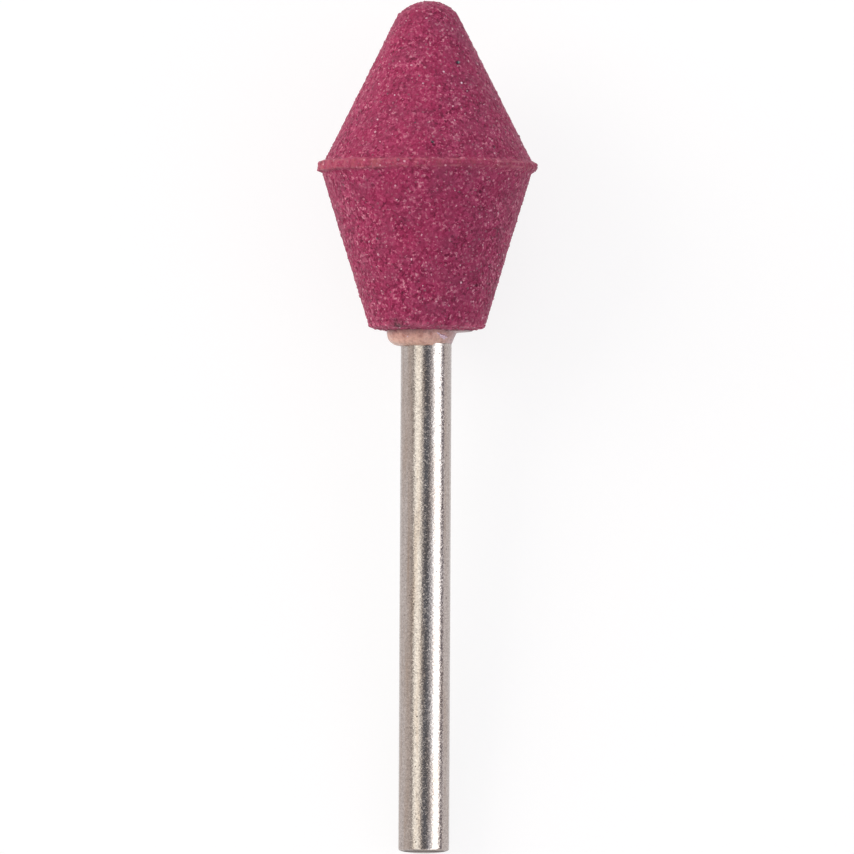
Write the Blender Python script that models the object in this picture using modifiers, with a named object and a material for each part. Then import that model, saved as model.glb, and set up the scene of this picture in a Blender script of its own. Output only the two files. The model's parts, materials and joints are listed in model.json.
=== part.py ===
"""A mounted point: a double-cone abrasive stone cemented to a plain steel shank.

Every piece is modelled upright about its own Z axis, which is the tool's axis: the shank's free end is
down, the stone's nose is up, and the side that faces a viewer is -Y. The finished tool is then laid on
its back on the floor, where it rests on the stone's flash ring and on the edge of the shank's end.
"""

import math

import bmesh
import bpy
from mathutils import Matrix, Vector

MM = 0.001

# The steel shank, a ground rod. Its knurled end is buried in the stone.
SHANK_DIAMETER = 3.0 * MM
SHANK_OUT = 30.95 * MM  # from the free end to the stone's heel
SHANK_IN = 10.4 * MM  # held inside the stone
SHANK_CHAMFER = 0.2 * MM

# The diamond knurl, which gives the cement its grip.
KNURL_PLAIN_NECK = 2.0 * MM  # smooth rod between the heel and the knurl
KNURL_PITCH = 0.4 * MM  # from crest to crest along the shank; round it, every other facet has one
KNURL_DEPTH = 0.12 * MM
TIP_PLAIN = 0.5 * MM  # smooth rod past the knurl, where the tip's chamfer is

# The stone: two cones pressed in a two-part mould, base to base on the parting line.
STONE_DIAMETER = 12.6 * MM  # of both cones at the parting line
FRONT_LENGTH = 8.95 * MM  # from the parting line to the nose's shoulder
BACK_LENGTH = 9.4 * MM  # from the parting line to the heel's edge
SHOULDER_DIAMETER = 3.55 * MM
NOSE_DOME_HEIGHT = 0.85 * MM
SHOULDER_FILLET = 0.5 * MM
HEEL_DIAMETER = 6.85 * MM
HEEL_CROWN_HEIGHT = 0.2 * MM
HEEL_FACE_DIAMETER = 5.0 * MM  # the flat that the bead of cement sits on
HEEL_FILLET = 0.2 * MM

# The flash, a thin ring that the mould squeezes out along the parting line.
FLASH_STANDS_OUT = 0.2 * MM  # past the edge where the two cones would meet
FLASH_ROOT = 0.82 * MM  # its height where it leaves the cones
FLASH_LAND = 0.46 * MM  # its height at its blunt outer face

# The cement that fills what the shank leaves of the moulded bore.
CEMENT_WALL = 0.2 * MM
CEMENT_PAST_TIP = 0.5 * MM
BORE_FILLET = 0.4 * MM

# The bead of cement that was squeezed out at the heel. It bulges towards one side.
BEAD_WIDTH = 0.54 * MM  # how far it stands out from the shank, on average
BEAD_HEIGHT = 0.78 * MM
BEAD_FILLET = 0.28 * MM
BEAD_LEAN = 0.28 * MM  # extra width on the full side, and as much less on the other
BEAD_DROOP = 0.11 * MM  # extra height on the full side
BEAD_FULL_SIDE = math.radians(200)  # as seen from the nose, counted from +X

GLUE_GAP = 0.05 * MM  # kept between the cement and each piece that it holds

# Facets. Both counts are two more than a multiple of four, so that a flat facet faces the floor.
STONE_SIDES = 74
SHANK_SIDES = 50
ARC_STEPS = 5
DOME_STEPS = 7
FILLET_SHARE = 0.45  # the most of an edge that the fillet at one of its ends may take
SHARP_FROM = math.radians(35)  # edges that turn more than this keep their crease
WELD = 0.0001 * MM

SHANK_RADIUS = SHANK_DIAMETER / 2
BORE_RADIUS = SHANK_RADIUS + GLUE_GAP + CEMENT_WALL + GLUE_GAP
BORE_DEPTH = SHANK_IN + GLUE_GAP + CEMENT_PAST_TIP + GLUE_GAP
FLASH_RADIUS = STONE_DIAMETER / 2 + FLASH_STANDS_OUT


def radius_of_front(height):
    """Radius of the front cone at this height above the parting line."""
    taper = (STONE_DIAMETER - SHOULDER_DIAMETER) / 2 / FRONT_LENGTH
    return STONE_DIAMETER / 2 - taper * height


def radius_of_back(depth):
    """Radius of the back cone at this depth below the parting line."""
    taper = (STONE_DIAMETER - HEEL_DIAMETER) / 2 / BACK_LENGTH
    return STONE_DIAMETER / 2 - taper * depth


def filleted(corners):
    """The outline through (radius, height, fillet) corners, with an arc at each corner that has a fillet."""
    points = [Vector(corner[:2]) for corner in corners]
    outline = [points[0]]
    for before, here, after, corner in zip(points, points[1:], points[2:], corners[1:]):
        back, ahead = (before - here), (after - here)
        half_angle = back.angle(ahead) / 2
        reach = min(corner[2] / math.tan(half_angle), FILLET_SHARE * back.length, FILLET_SHARE * ahead.length)
        if reach < WELD:
            outline.append(here)
            continue
        start = here + back.normalized() * reach
        middle = (back.normalized() + ahead.normalized()).normalized()
        centre = here + middle * reach / math.cos(half_angle)
        first = start - centre
        turn = math.pi - 2 * half_angle
        if back.cross(ahead) > 0:
            turn = -turn
        for step in range(ARC_STEPS + 1):
            outline.append(centre + Matrix.Rotation(turn * step / ARC_STEPS, 2) @ first)
    outline.append(points[-1])
    return outline


def dome(edge_radius, height, base):
    """Points down a spherical cap, from its top on the axis to just above its edge."""
    ball = (edge_radius**2 + height**2) / (2 * height)
    sweep = math.asin(min(1.0, edge_radius / ball))
    centre = base + height - ball
    angles = [sweep * step / DOME_STEPS for step in range(DOME_STEPS)]
    return [Vector((ball * math.sin(angle), centre + ball * math.cos(angle))) for angle in angles]


def turned(name, outline, sides, material, collection):
    """A piece turned about Z. Its half section runs from the axis at the top down its outer side."""
    mesh = bpy.data.meshes.new(name)
    edges = [(point, point + 1) for point in range(len(outline) - 1)]
    mesh.from_pydata([(point.x, 0.0, point.y) for point in outline], edges, [])
    mesh.materials.append(material)
    piece = bpy.data.objects.new(name, mesh)
    collection.objects.link(piece)
    screw = piece.modifiers.new("turn", "SCREW")
    screw.angle = math.tau
    screw.steps = screw.render_steps = sides
    screw.use_merge_vertices = True
    screw.merge_threshold = WELD
    return piece


def fixed(piece):
    """Makes the piece a plain mesh of what its modifiers give, so that its points can be worked on."""
    graph = bpy.context.evaluated_depsgraph_get()
    mesh = bpy.data.meshes.new_from_object(piece.evaluated_get(graph))
    piece.modifiers.clear()
    piece.data = mesh
    return mesh


def smooth(piece):
    """Shades the round surfaces smooth and keeps the real edges sharp."""
    mesh = piece.data if not piece.modifiers else fixed(piece)
    mesh.shade_smooth()
    mesh.set_sharp_from_angle(angle=SHARP_FROM)


def principled(name, colour, roughness, metallic=0.0):
    material = bpy.data.materials.new(name)
    material.use_nodes = True
    shader = material.node_tree.nodes["Principled BSDF"]
    shader.inputs["Base Color"].default_value = (*colour, 1.0)
    shader.inputs["Roughness"].default_value = roughness
    shader.inputs["Metallic"].default_value = metallic
    return material


def make_stone(collection):
    """The abrasive head, with its heel at height 0 and the blind bore open there."""
    parting = HEEL_CROWN_HEIGHT + BACK_LENGTH
    shoulder = parting + FRONT_LENGTH
    half_root, half_land = FLASH_ROOT / 2, FLASH_LAND / 2
    nose = dome(SHOULDER_DIAMETER / 2, NOSE_DOME_HEIGHT, shoulder)
    corners = [
        (nose[-1].x, nose[-1].y, 0),
        (SHOULDER_DIAMETER / 2, shoulder, SHOULDER_FILLET),
        (radius_of_front(half_root), parting + half_root, 0),
        (FLASH_RADIUS, parting + half_land, 0),
        (FLASH_RADIUS, parting - half_land, 0),
        (radius_of_back(half_root), parting - half_root, 0),
        (HEEL_DIAMETER / 2, HEEL_CROWN_HEIGHT, HEEL_FILLET),
        (HEEL_FACE_DIAMETER / 2, 0, 0),
        (BORE_RADIUS, 0, 0),
        (BORE_RADIUS, BORE_DEPTH, BORE_FILLET),
        (0, BORE_DEPTH, 0),
    ]
    material = principled("ruby_abrasive", (0.33, 0.045, 0.105), 0.85)
    stone = turned("abrasive_stone", nose[:-1] + filleted(corners), STONE_SIDES, material, collection)
    stone.location.z = SHANK_OUT
    smooth(stone)
    return stone


def make_cement(collection):
    """The cement: a thimble round the shank's buried end, and the bead that came out under the heel."""
    outer, inner = BORE_RADIUS - GLUE_GAP, SHANK_RADIUS + GLUE_GAP
    corners = [
        (0, BORE_DEPTH - GLUE_GAP, 0),
        (outer, BORE_DEPTH - GLUE_GAP, BORE_FILLET),
        (outer, -GLUE_GAP, 0),
        (SHANK_RADIUS + BEAD_WIDTH, -GLUE_GAP, 0),
        (SHANK_RADIUS + BEAD_WIDTH, -BEAD_HEIGHT, BEAD_FILLET),
        (inner, -BEAD_HEIGHT, 0),
        (inner, SHANK_IN + GLUE_GAP, 0),
        (0, SHANK_IN + GLUE_GAP, 0),
    ]
    material = principled("cement", (0.58, 0.34, 0.27), 0.6)
    cement = turned("cement", filleted(corners), STONE_SIDES, material, collection)
    cement.location.z = SHANK_OUT
    for vertex in fixed(cement).vertices:
        if vertex.co.z < -GLUE_GAP + WELD:
            lean_bead(vertex)
    smooth(cement)
    return cement


def lean_bead(vertex):
    """Moves a point of the bead out and down on its full side, and in and up on the other."""
    radius = vertex.co.xy.length
    outward = vertex.co.xy / radius
    fullness = math.cos(math.atan2(outward.y, outward.x) - BEAD_FULL_SIDE)
    under_stone = BORE_RADIUS - GLUE_GAP
    share_out = max(0.0, radius - under_stone) / (SHANK_RADIUS + BEAD_WIDTH - under_stone)
    share_down = (-GLUE_GAP - vertex.co.z) / (BEAD_HEIGHT - GLUE_GAP)
    vertex.co.xy = outward * (radius + share_out * BEAD_LEAN * fullness)
    vertex.co.z -= share_down * BEAD_DROOP * fullness


def make_shank(collection):
    """The shank, upright on its free end, with the diamond knurl near its buried end."""
    length = SHANK_OUT + SHANK_IN
    knurl_low = SHANK_OUT + KNURL_PLAIN_NECK
    knurl_high = length - TIP_PLAIN
    rows = max(2, round((knurl_high - knurl_low) / (KNURL_PITCH / 2)))
    row_height = (knurl_high - knurl_low) / rows
    outline = [
        (0, length),
        (SHANK_RADIUS - SHANK_CHAMFER, length),
        (SHANK_RADIUS, length - SHANK_CHAMFER),
        *[(SHANK_RADIUS, knurl_high - row * row_height) for row in range(rows + 1)],
        (SHANK_RADIUS, SHANK_CHAMFER),
        (SHANK_RADIUS - SHANK_CHAMFER, 0),
        (0, 0),
    ]
    material = principled("ground_steel", (0.55, 0.52, 0.50), 0.3, metallic=1.0)
    shank = turned("steel_shank", [Vector(point) for point in outline], SHANK_SIDES, material, collection)
    cut_knurl(fixed(shank), knurl_low, row_height, rows)
    smooth(shank)
    return shank


def cut_knurl(mesh, lowest_row, row_height, rows):
    """Sinks every other point of the knurled rows. Each face is then split from low point to low point, which
    leaves two sets of crossing V grooves with a pyramid in every diamond between them."""
    for vertex in mesh.vertices:
        row = round((vertex.co.z - lowest_row) / row_height)
        column = round(math.atan2(vertex.co.y, vertex.co.x) / math.tau * SHANK_SIDES)
        if 0 < row < rows and (row + column) % 2:
            vertex.co.xy *= 1 - KNURL_DEPTH / SHANK_RADIUS
    work = bmesh.new()
    work.from_mesh(mesh)
    bmesh.ops.triangulate(work, faces=work.faces, quad_method="SHORT_EDGE")
    work.to_mesh(mesh)
    work.free()


def lay_down(tool, pieces):
    """Lays the tool on its back, nose towards +Y, on the floor and with its middle over the origin."""
    parting = SHANK_OUT + HEEL_CROWN_HEIGHT + BACK_LENGTH
    ring_reach = FLASH_RADIUS * math.cos(math.pi / STONE_SIDES)
    shank_reach = SHANK_RADIUS * math.cos(math.pi / SHANK_SIDES)
    contacts_apart = parting - FLASH_LAND / 2 - SHANK_CHAMFER
    slope = math.atan2(ring_reach - shank_reach, contacts_apart)
    tool.rotation_euler.x = slope - math.pi / 2
    bpy.context.view_layer.update()
    corners = [piece.matrix_world @ vertex.co for piece in pieces for vertex in piece.data.vertices]
    lowest = [min(corner[axis] for corner in corners) for axis in range(3)]
    highest = [max(corner[axis] for corner in corners) for axis in range(3)]
    tool.location = (-(lowest[0] + highest[0]) / 2, -(lowest[1] + highest[1]) / 2, -lowest[2])


def main():
    for leftover in list(bpy.data.objects):
        bpy.data.objects.remove(leftover)
    collection = bpy.data.collections.new("mounted_point")
    bpy.context.scene.collection.children.link(collection)
    tool = bpy.data.objects.new("tool_axis", None)
    collection.objects.link(tool)
    pieces = [make_stone(collection), make_cement(collection), make_shank(collection)]
    for piece in pieces:
        piece.parent = tool
    lay_down(tool, pieces)


main()
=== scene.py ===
# %% [markdown]
# # A mounted point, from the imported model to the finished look
#
# A mounted point is a small grinding stone on a steel shank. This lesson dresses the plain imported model: a
# pressed ruby stone with thousands of grains, a bead of hardened cement and a ground steel shank. Every piece
# is modelled standing on the shank's free end, because turned things are easiest to think about upright, and
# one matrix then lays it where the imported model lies.

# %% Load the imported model
import json
import math
import random

import bmesh
import bpy
import numpy as np
from mathutils import Matrix, Vector, noise


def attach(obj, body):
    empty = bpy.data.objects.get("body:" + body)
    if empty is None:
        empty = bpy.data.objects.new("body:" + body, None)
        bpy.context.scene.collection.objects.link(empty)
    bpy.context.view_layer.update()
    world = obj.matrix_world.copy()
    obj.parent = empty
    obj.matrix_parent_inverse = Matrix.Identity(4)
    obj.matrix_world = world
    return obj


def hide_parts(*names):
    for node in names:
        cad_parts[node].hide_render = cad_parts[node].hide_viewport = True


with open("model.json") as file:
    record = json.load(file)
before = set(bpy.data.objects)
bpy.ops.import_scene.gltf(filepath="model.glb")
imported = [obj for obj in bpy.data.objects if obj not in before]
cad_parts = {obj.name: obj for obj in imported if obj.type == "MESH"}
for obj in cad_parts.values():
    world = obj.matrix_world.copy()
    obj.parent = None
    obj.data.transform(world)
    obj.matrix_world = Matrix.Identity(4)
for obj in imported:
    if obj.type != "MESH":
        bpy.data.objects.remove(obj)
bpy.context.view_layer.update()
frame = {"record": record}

MM = 0.001

# %% [markdown]
# ## Where the tool's axis lies
#
# The tool lies on its ring and on the end of its shank, so its axis slopes. The record's mount gives the
# centre of the shank's end and the direction out of it, which is all that the matrix needs: its Z column runs
# up the axis to the nose, its X column stays level, and -Y is the side that faces up, towards the camera.

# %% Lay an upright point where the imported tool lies
end_mount = next(mount for mount in frame["record"]["mounts"] if mount["name"] == "shank_end")
END_CENTRE = Vector(end_mount["pos_m"])
ALONG = -Vector(end_mount["axis"]).normalized()
ACROSS = Vector((1, 0, 0))
FACING_DOWN = ALONG.cross(ACROSS)
LAID = Matrix((ACROSS, FACING_DOWN, ALONG)).transposed().to_4x4()
LAID.translation = END_CENTRE
SLOPE = math.asin(ALONG.z)
print(f"The axis rises {math.degrees(SLOPE):.2f} degrees towards the nose")

# %% [markdown]
# ## The camera
#
# The photograph looks straight at the side of the tool, from a little below the ring, so that a thin strip of
# the heel shows. Here the tool lies down, so the camera looks down on it. It is far away with a long lens,
# because the real picture has next to no perspective.

# %% Camera
def placed(name, data):
    """A new object at the origin of the scene."""
    thing = bpy.data.objects.new(name, data)
    bpy.context.scene.collection.objects.link(thing)
    return thing


TOOL_LENGTH = 50.37 * MM
FRAME_HEIGHT = 50.44 * MM  # what the picture's height covers at the tool
CAMERA_DISTANCE = 2000 * MM
SEEN_FROM_BELOW = math.radians(2.05)
CAMERA_ROLL = math.radians(0.286)
CAMERA_ASIDE = 0.070 * MM  # the tool stands a little left of the middle
SENSOR_WIDTH = 36.0

middle = END_CENTRE + ALONG * (TOOL_LENGTH / 2)
camera_back = -FACING_DOWN * math.cos(SEEN_FROM_BELOW) - ALONG * math.sin(SEEN_FROM_BELOW)
camera_up = (ALONG - camera_back * ALONG.dot(camera_back)).normalized()
camera_right = camera_up.cross(camera_back)
camera_data = bpy.data.cameras.new("camera")
camera_data.sensor_width = SENSOR_WIDTH
camera_data.lens = SENSOR_WIDTH * CAMERA_DISTANCE / FRAME_HEIGHT
camera_data.clip_start, camera_data.clip_end = 0.01, 10
camera = placed("camera", camera_data)
turn = Matrix((camera_right, camera_up, camera_back)).transposed() @ Matrix.Rotation(CAMERA_ROLL, 3, "Z")
camera.matrix_world = Matrix.LocRotScale(
    middle + camera_back * CAMERA_DISTANCE + camera_right * CAMERA_ASIDE, turn, None
)
bpy.context.scene.camera = camera
bpy.context.scene.view_settings.view_transform = "Standard"
print(f"The lens is {camera_data.lens:.0f} mm")


# %% [markdown]
# ## A short way to write node trees
#
# Materials, the world and Geometry Nodes are all node trees. These helpers keep the cells below short. The
# first adds any node and sets or links its inputs, and the others add the kinds that are used most.

# %% Node helpers
def add(tree, kind, settings=None, **inputs):
    """Adds a node. An input is a value or another node's output, and _ in its name stands for a space."""
    node = tree.nodes.new(kind)
    for name, value in (settings or {}).items():
        setattr(node, name, value)
    for name, value in inputs.items():
        key = int(name[2:]) if name.startswith("in") and name[2:].isdigit() else name.replace("_", " ")
        if isinstance(value, bpy.types.NodeSocket):
            tree.links.new(value, node.inputs[key])
        else:
            node.inputs[key].default_value = value
    return node


def calc(tree, operation, *numbers):
    """The result of a Math node. A number is a value or an output."""
    inputs = {f"in{place}": number for place, number in enumerate(numbers)}
    return add(tree, "ShaderNodeMath", {"operation": operation}, **inputs).outputs[0]


def vector_calc(tree, operation, *vectors, **inputs):
    """The result of a Vector Math node."""
    inputs.update({f"in{place}": vector for place, vector in enumerate(vectors)})
    node = add(tree, "ShaderNodeVectorMath", {"operation": operation}, **inputs)
    return node.outputs["Value" if operation in ("DISTANCE", "DOT_PRODUCT") else "Vector"]


def remap(tree, value, low, high, to_low=0.0, to_high=1.0):
    """The value moved from the range low to high into the other range, and kept inside it."""
    ends = {"From_Min": low, "From_Max": high, "To_Min": to_low, "To_Max": to_high}
    return add(tree, "ShaderNodeMapRange", Value=value, **ends).outputs[0]


# %% Helpers for colours
def start_material(name):
    """A new material, its tree and its Principled shader."""
    material = bpy.data.materials.new(name)
    material.use_nodes = True
    return material, material.node_tree, material.node_tree.nodes["Principled BSDF"]


def ramp(tree, factor, stops):
    """The colour of a ramp with these (place, colour) stops."""
    node = add(tree, "ShaderNodeValToRGB", Fac=factor)
    elements = node.color_ramp.elements
    while len(elements) < len(stops):
        elements.new(0.5)
    for element, (place, colour) in zip(elements, stops):
        element.position = place
        element.color = (*colour, 1)
    return node.outputs["Color"]


def mixed(tree, share, first, second, blend="MIX"):
    """The mix of two colours, which may be values or outputs."""
    pair = [(*colour, 1) if isinstance(colour, tuple) else colour for colour in (first, second)]
    settings = {"data_type": "RGBA", "blend_type": blend}
    return add(tree, "ShaderNodeMix", settings, in0=share, in6=pair[0], in7=pair[1]).outputs[2]


def clouds(tree, place, size, detail, roughness=0.5):
    """A soft noise from 0 to 1 with lumps of about this size."""
    inputs = {"Vector": place, "Scale": 1 / size, "Detail": detail, "Roughness": roughness}
    return add(tree, "ShaderNodeTexNoise", **inputs).outputs[0]


# %% [markdown]
# ## The floor and the light
#
# The photograph has a white ground and soft light, a little warm, from the upper left. The floor is white
# card. It is lifted to full white only for the camera and for what shiny surfaces show, so no extra light
# falls on the tool, and the tool's soft shadow stays. One large square lamp is the key. Three weak ones open
# the shadows on the right, on the nose and under the heel.

# %% Floor
FLOOR_HALF = 3.0
FLOOR_DROP = 0.02 * MM
CARD = (0.85, 0.85, 0.85)  # what the card gives back to the tool
CARD_SEEN = (0.21, 0.21, 0.21)  # and to the eye, with the lift on top
CARD_LIFT = 0.815
WHITE = (1, 1, 1)


def seen_directly(tree):
    """1 for what the camera, a shiny surface or a clear one looks at, and 0 for light that only bounces."""
    path = add(tree, "ShaderNodeLightPath")
    seen = path.outputs["Is Camera Ray"]
    for ray in ("Is Glossy Ray", "Is Transmission Ray"):
        seen = calc(tree, "MAXIMUM", seen, path.outputs[ray])
    return seen


def plain_piece(name, points, faces):
    """An object at the origin with these points and faces."""
    mesh = bpy.data.meshes.new(name)
    mesh.from_pydata(points, [], faces)
    return placed(name, mesh)


sides = ((-1, -1), (1, -1), (1, 1), (-1, 1))
floor_corners = [(x * FLOOR_HALF, y * FLOOR_HALF, -FLOOR_DROP) for x, y in sides]
floor = plain_piece("floor", floor_corners, [(0, 1, 2, 3)])

white_card, tree, shader = start_material("white_card")
seen = seen_directly(tree)
tree.links.new(mixed(tree, seen, CARD, CARD_SEEN), shader.inputs["Base Color"])
tree.links.new(calc(tree, "MULTIPLY", seen, CARD_LIFT), shader.inputs["Emission Strength"])
shader.inputs["Emission Color"].default_value = (*WHITE, 1)
shader.inputs["Roughness"].default_value = 0.9
floor.data.materials.append(white_card)
print("The floor is", 2 * FLOOR_HALF, "m wide")

# %% World
AMBIENT = (0.52, 0.49, 0.52)
world = bpy.data.worlds.new("studio")
bpy.context.scene.world = world
world.use_nodes = True
tree = world.node_tree
sky = mixed(tree, seen_directly(tree), AMBIENT, WHITE)
tree.links.new(sky, tree.nodes["Background"].inputs["Color"])


# %% Lamps
def softbox(name, direction, distance, side, level, colour):
    """A square lamp. Its level is the light on a surface that faces it, as a share of plain white light."""
    lamp = bpy.data.lights.new(name, "AREA")
    lamp.shape = "SQUARE"
    lamp.size = side
    lamp.color = colour
    lamp.energy = level * (math.pi * distance) ** 2
    box = placed(name, lamp)
    away = Vector(direction).normalized()
    box.matrix_world = Matrix.LocRotScale(middle + away * distance, away.to_track_quat("Z", "Y"), None)
    box.visible_camera = False
    box.visible_glossy = False
    print(f"{name}: {lamp.energy:.2f} W at {distance:.2f} m")


softbox("key_from_left", (-0.78, 0.32, 0.54), 0.7, 0.45, 0.555, (1.0, 0.925, 0.85))
softbox("fill_from_right", (0.78, -0.20, 0.60), 0.8, 0.6, 0.09, (0.86, 0.92, 1.0))
softbox("top_from_nose", (-0.15, 0.9, 0.45), 0.9, 0.6, 0.10, (1.0, 0.90, 0.88))
softbox("low_under_heel", (-0.15, -0.95, 0.20), 0.9, 0.6, 0.08, (1.0, 0.94, 0.93))

# %% [markdown]
# ## What the steel mirrors
#
# A polished rod shows the whole studio in its width: each line along it mirrors one direction round its axis.
# So the bands on the shank are made by a tent of soft panels over the tool, which only shiny surfaces see. It
# is half a tube, and its colour depends on the angle round the tube alone.

# %% Tent of reflections
TENT_RADIUS = 0.30
TENT_LENGTH = 2.4
TENT_SIDES = 96
TENT_PANELS = [  # from and to, in degrees from straight overhead, the right positive, and the light there
    (-90, -67, (0.89, 0.835, 0.79)),  # grey cloth
    (-61, -56, (0.47, 0.44, 0.43)),  # the fold beside it
    (-48, -25, (2.05, 2.10, 1.94)),  # a cream panel
    (-15, -13, (0.80, 0.78, 0.75)),
    (-7, 14, (0.215, 0.235, 0.27)),  # the dark front of the lens
    (24, 26, (0.74, 0.77, 0.84)),
    (32, 36, (1.34, 1.42, 1.48)),  # light spilt from the window
    (44, 68, (3.80, 4.05, 4.15)),  # the window
    (72, 73, (1.30, 1.36, 1.44)),  # its edge
    (79, 90, (0.30, 0.28, 0.33)),  # the wall past its frame
]
TENT_BRIGHTEST = 4.4

tent_points = []
for side in range(TENT_SIDES + 1):
    angle = math.pi * (side / TENT_SIDES - 0.5)
    for end in (-0.5, 0.5):
        tent_points.append((TENT_RADIUS * math.sin(angle), end * TENT_LENGTH, TENT_RADIUS * math.cos(angle)))
tent_faces = [(2 * side, 2 * side + 1, 2 * side + 3, 2 * side + 2) for side in range(TENT_SIDES)]
tent = plain_piece("reflection_tent", tent_points, tent_faces)
tent.visible_camera = tent.visible_diffuse = tent.visible_shadow = tent.visible_transmission = False

tent_light, tree, shader = start_material("tent_light")
place = add(tree, "ShaderNodeTexCoord").outputs["Object"]
parts = add(tree, "ShaderNodeSeparateXYZ", Vector=place).outputs
share = remap(tree, calc(tree, "ARCTAN2", parts["X"], parts["Z"]), -math.pi / 2, math.pi / 2)
stops = []
for first, last, light in TENT_PANELS:
    for degrees in (first, last):
        stops.append(((degrees + 90) / 180, tuple(part / TENT_BRIGHTEST for part in light)))
tree.links.new(ramp(tree, share, stops), shader.inputs["Emission Color"])
shader.inputs["Emission Strength"].default_value = TENT_BRIGHTEST
shader.inputs["Base Color"].default_value = (0, 0, 0, 1)
shader.inputs["Specular IOR Level"].default_value = 0
tent_light.cycles.emission_sampling = "NONE"
tent.data.materials.append(tent_light)
print("The tent has", len(TENT_PANELS), "panels")


# %% [markdown]
# ## The skin of a turned piece, with even triangles
#
# A plain revolve has as many points round its narrow end as round its wide one, so fine relief would starve
# at the wide end. Here each row takes as many points as its own girth needs, and the gaps between unequal
# rows are zipped shut with triangles. Rows run from the top down the outside.

# %% Zip rows of points into a closed skin
def zip_rows(rows):
    """Points and triangles of the skin through these rows of points; a row of one point is a pole."""
    points, faces, first = [], [], 0
    for index, row in enumerate(rows):
        points.extend(row)
        if index:
            faces.extend(zip_two(before, len(rows[index - 1]), first, len(row)))
        before, first = first, first + len(row)
    return points, faces


def zip_two(upper, upper_count, lower, lower_count):
    """Triangles between two rows, which start at these point numbers."""
    high = low = 0
    high_end, low_end = (count if count > 1 else 0 for count in (upper_count, lower_count))
    while high < high_end or low < low_end:
        corner_high, corner_low = upper + high % upper_count, lower + low % lower_count
        if low == low_end or (high < high_end and (high + 1) * low_end <= (low + 1) * high_end):
            high += 1
            yield corner_high, corner_low, upper + high % upper_count
        else:
            low += 1
            yield corner_high, corner_low, lower + low % lower_count


def round_row(radius, height, spacing, least=6):
    """Angles and points of one even row, or of a pole."""
    if radius < spacing / 4:
        return [0.0], [Vector((0, 0, height))]
    count = max(least, round(math.tau * radius / spacing))
    angles = [math.tau * step / count for step in range(count)]
    return angles, [Vector((radius * math.cos(a), radius * math.sin(a), height)) for a in angles]


def laid_piece(name, points, faces, material=None, **attributes):
    """An object at the origin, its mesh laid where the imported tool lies, with these numbers on its points."""
    piece = plain_piece(name, points, faces)
    piece.data.transform(LAID)
    piece.data.shade_smooth()
    if material:
        piece.data.materials.append(material)
    for label, numbers in attributes.items():
        piece.data.attributes.new(label, "FLOAT", "POINT").data.foreach_set("value", numbers)
    return piece


# %% [markdown]
# ## The outline of the stone
#
# The stone is pressed in two halves, so its outline is two cones that meet on the parting line, with a small
# dome on the nose and a slightly crowned heel. The outline is first drawn without its ring. The halves of the
# mould didn't meet quite true, so each row is also moved sideways by a few hundredths of a millimetre.

# %% Stone outline
HEEL = 30.89 * MM  # this height and the next four start from the shank's free end
HEEL_EDGE = 31.07 * MM
PARTING = 40.55 * MM
SHOULDER = 49.5 * MM
TIP = 50.37 * MM
STONE_RADIUS = 6.28 * MM
SHOULDER_RADIUS = 1.79 * MM
HEEL_RADIUS = 3.40 * MM
HEEL_FACE_RADIUS = 2.5 * MM
BORE_RADIUS = 1.8 * MM
BORE_DEPTH = 11.0 * MM
GLUE_GAP = 0.05 * MM  # stands in for the bond on each side of the cement
MOULD_SHIFT = [  # height, and how far the stone stands to the right there, in mm
    (30.9, 0.045), (36.0, -0.010), (40.1, -0.020), (41.0, 0.070), (45.0, 0.045), (49.3, 0.0), (50.35, 0.060),
]
NOSE_STEPS = 12
NOSE_EASE = 0.25 * MM  # how far the outline's inner corners are rounded
HEEL_EASE = 0.18 * MM
EASE_STEPS = 4
GRAIN_STEP = 0.086 * MM  # distance between the points of the stone's skin


def dome_points(radius, height, base, steps):
    """Points (radius, height) of a cap, from its top to its edge."""
    ball = (radius**2 + height**2) / (2 * height)
    sweep = math.asin(radius / ball)
    return [
        (ball * math.sin(sweep * step / steps), base + height - ball * (1 - math.cos(sweep * step / steps)))
        for step in range(steps + 1)
    ]


def eased(outline, reach):
    """The outline with each inner corner rounded over this reach, by a quadratic curve."""
    soft = [outline[0]]
    for before, here, after in zip(outline, outline[1:], outline[2:]):
        before, here, after = Vector(before), Vector(here), Vector(after)
        start = here + (before - here).normalized() * min(reach, (before - here).length / 2)
        stop = here + (after - here).normalized() * min(reach, (after - here).length / 2)
        for step in range(EASE_STEPS + 1):
            t = step / EASE_STEPS
            soft.append(tuple(start * (1 - t) ** 2 + here * 2 * t * (1 - t) + stop * t**2))
    return [*soft, outline[-1]]


def evenly(outline, spacing):
    """Points along the outline at this spacing."""
    lengths = [0.0]
    for here, after in zip(outline, outline[1:]):
        lengths.append(lengths[-1] + math.dist(here, after))
    at = np.linspace(0, lengths[-1], round(lengths[-1] / spacing) + 1)
    radii, heights = zip(*outline)
    return list(zip(np.interp(at, lengths, radii), np.interp(at, lengths, heights)))


def mould_shift(height):
    """How far the stone stands to the right at this height."""
    heights, shifts = zip(*MOULD_SHIFT)
    return float(np.interp(height / MM, heights, shifts)) * MM


nose = dome_points(SHOULDER_RADIUS, TIP - SHOULDER, SHOULDER, NOSE_STEPS)
front = [nose[-2], nose[-1], (STONE_RADIUS, PARTING)]
back = [(STONE_RADIUS, PARTING), (HEEL_RADIUS, HEEL_EDGE), (HEEL_FACE_RADIUS, HEEL), (BORE_RADIUS, HEEL)]
stone_outline = [*nose[:-1], *eased(front, NOSE_EASE)[1:], *eased(back, HEEL_EASE)[1:]]
skin_rows = evenly(stone_outline, GRAIN_STEP)
print(len(skin_rows), "rows down the stone")

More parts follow.
